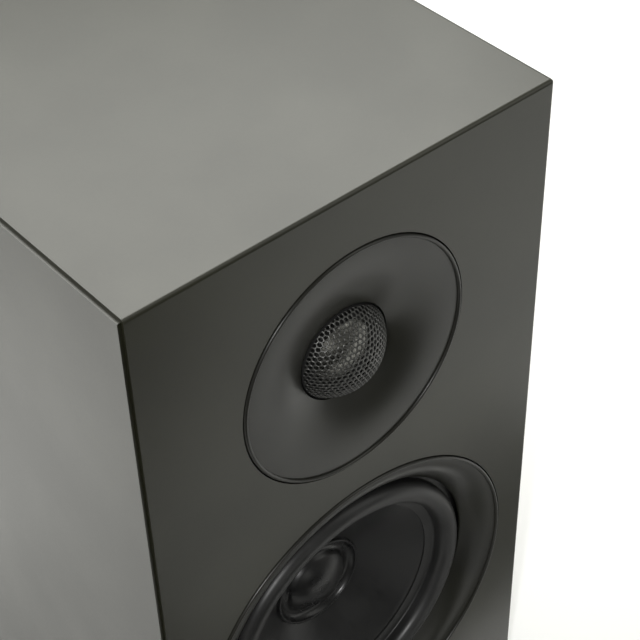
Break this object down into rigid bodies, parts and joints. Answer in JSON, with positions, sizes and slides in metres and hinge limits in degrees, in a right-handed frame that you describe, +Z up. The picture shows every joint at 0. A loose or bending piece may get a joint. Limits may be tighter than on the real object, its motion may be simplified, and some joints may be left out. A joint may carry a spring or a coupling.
{
  "type": "bookshelf speaker",
  "caption": "Two-way bookshelf loudspeaker with a flared woofer, a dome tweeter under a perforated cap, a rear port and screw binding posts.",
  "frame": {"origin": "middle of the base, on the surface that the feet stand on", "axes": "+Z up, +X to the right seen from the front; the drivers face -Y and the port and binding posts face +Y"},
  "size_m": [0.18, 0.2658, 0.336],
  "materials": {
    "front_baffle": "satin painted fibreboard",
    "top_panel": "satin painted fibreboard",
    "bottom_panel": "satin painted fibreboard",
    "left_panel": "satin painted fibreboard",
    "right_panel": "satin painted fibreboard",
    "rear_panel": "satin painted fibreboard",
    "window_brace": "bare fibreboard",
    "damping_foam": "felted polyester",
    "rubber_feet": "matte",
    "port_tube": "fine moulded texture",
    "terminal_cup": "fine moulded texture",
    "terminal_cup_screws": "black zinc",
    "post_studs": "gold plated",
    "post_washer_red": "gloss",
    "post_washer_black": "gloss",
    "post_insert_red": "gold plated",
    "post_insert_black": "gold plated",
    "post_cap_red": "satin",
    "post_cap_black": "satin",
    "post_nuts": "plated",
    "solder_lugs": "tinned",
    "crossover_board": "glass-fibre board",
    "board_standoffs": "nylon",
    "board_screws": "zinc plated",
    "woofer_inductor": "enamelled copper winding",
    "tweeter_inductor": "enamelled copper winding",
    "capacitors": "film wrapped",
    "resistors": "cement case",
    "input_cable": "jacketed cable",
    "woofer_cable": "jacketed cable",
    "tweeter_cable": "jacketed cable",
    "woofer_trim_ring": "satin moulded",
    "woofer_basket": "powder coated steel",
    "woofer_gasket": "foam",
    "woofer_screws": "black zinc",
    "woofer_terminals": "tags on a fibre strip",
    "woofer_top_plate": "zinc plated",
    "woofer_magnet": "sintered ferrite",
    "woofer_yoke": "zinc plated",
    "woofer_spider": "resin-treated cloth",
    "woofer_surround": "butyl rubber",
    "woofer_tinsel_leads": "braided copper",
    "woofer_cone": "coated pulp",
    "woofer_dust_cap": "coated pulp",
    "woofer_coil_former": "glass-fibre former",
    "woofer_voice_coil": "enamelled copper wire",
    "tweeter_waveguide": "satin moulded",
    "tweeter_mesh": "perforated sheet",
    "tweeter_frame": "moulded",
    "tweeter_gasket": "foam",
    "tweeter_screws": "black zinc",
    "tweeter_top_plate": "zinc plated",
    "tweeter_magnet": "sintered ferrite",
    "tweeter_yoke": "zinc plated",
    "tweeter_rear_chamber": "moulded",
    "tweeter_terminals": "tags on a block",
    "tweeter_dome": "polished foil",
    "tweeter_surround": "treated fabric",
    "tweeter_voice_coil": "enamelled wire"
  },
  "bodies": {
    "cabinet": {"front_baffle": "front_baffle", "top_panel": "top_panel", "bottom_panel": "bottom_panel", "left_panel": "left_panel", "right_panel": "right_panel", "rear_panel": "rear_panel", "window_brace": "window_brace", "damping_foam": "damping_foam", "rubber_feet": "rubber_feet", "port_tube": "port_tube", "terminal_cup": "terminal_cup", "terminal_cup_screws": "terminal_cup_screws", "post_studs": "post_studs", "post_washer_red": "post_washer_red", "post_washer_black": "post_washer_black", "post_nuts": "post_nuts", "solder_lugs": "solder_lugs", "crossover_board": "crossover_board", "board_standoffs": "board_standoffs", "board_screws": "board_screws", "woofer_inductor": "woofer_inductor", "tweeter_inductor": "tweeter_inductor", "capacitors": "capacitors", "resistors": "resistors", "input_cable": "input_cable", "woofer_cable": "woofer_cable", "tweeter_cable": "tweeter_cable", "woofer_trim_ring": "woofer_trim_ring", "woofer_basket": "woofer_basket", "woofer_gasket": "woofer_gasket", "woofer_screws": "woofer_screws", "woofer_terminals": "woofer_terminals", "woofer_top_plate": "woofer_top_plate", "woofer_magnet": "woofer_magnet", "woofer_yoke": "woofer_yoke", "woofer_spider": "woofer_spider", "woofer_surround": "woofer_surround", "woofer_tinsel_leads": "woofer_tinsel_leads", "tweeter_waveguide": "tweeter_waveguide", "tweeter_mesh": "tweeter_mesh", "tweeter_frame": "tweeter_frame", "tweeter_gasket": "tweeter_gasket", "tweeter_screws": "tweeter_screws", "tweeter_top_plate": "tweeter_top_plate", "tweeter_magnet": "tweeter_magnet", "tweeter_yoke": "tweeter_yoke", "tweeter_rear_chamber": "tweeter_rear_chamber", "tweeter_terminals": "tweeter_terminals", "tweeter_surround": "tweeter_surround"},
    "woofer_diaphragm": {"woofer_cone": "woofer_cone", "woofer_dust_cap": "woofer_dust_cap", "woofer_coil_former": "woofer_coil_former", "woofer_voice_coil": "woofer_voice_coil"},
    "tweeter_diaphragm": {"tweeter_dome": "tweeter_dome", "tweeter_voice_coil": "tweeter_voice_coil"},
    "red_post_thread": {"post_insert_red": "post_insert_red"},
    "red_post_cap": {"post_cap_red": "post_cap_red"},
    "black_post_thread": {"post_insert_black": "post_insert_black"},
    "black_post_cap": {"post_cap_black": "post_cap_black"}
  },
  "joints": [
    {"name": "woofer_cone_travel", "type": "slide", "parent": "cabinet", "child": "woofer_diaphragm", "axis": [0, -1, 0], "range_m": [-0.004, 0.004], "stiffness_N_per_m": 1000, "deforming": ["woofer_surround", "woofer_spider", "woofer_tinsel_leads"]},
    {"name": "tweeter_dome_travel", "type": "slide", "parent": "cabinet", "child": "tweeter_diaphragm", "axis": [0, -1, 0], "range_m": [-0.0004, 0.0004], "stiffness_N_per_m": 6000, "deforming": ["tweeter_surround"]},
    {"name": "red_post_travel", "type": "slide", "parent": "cabinet", "child": "red_post_thread", "axis": [0, 1, 0], "range_m": [0, 0.005]},
    {"name": "red_post_turn", "type": "hinge", "parent": "red_post_thread", "child": "red_post_cap", "pos_m": [-0.0095, 0.1189, 0.11], "axis": [0, 1, 0], "range_deg": [0, 1800]},
    {"name": "black_post_travel", "type": "slide", "parent": "cabinet", "child": "black_post_thread", "axis": [0, 1, 0], "range_m": [0, 0.005]},
    {"name": "black_post_turn", "type": "hinge", "parent": "black_post_thread", "child": "black_post_cap", "pos_m": [0.0095, 0.1189, 0.11], "axis": [0, 1, 0], "range_deg": [0, 1800]}
  ],
  "couplings": [
    {"joint": "red_post_turn", "follows": "red_post_travel", "rad_per_m": 6283.2},
    {"joint": "black_post_turn", "follows": "black_post_travel", "rad_per_m": 6283.2}
  ]
}
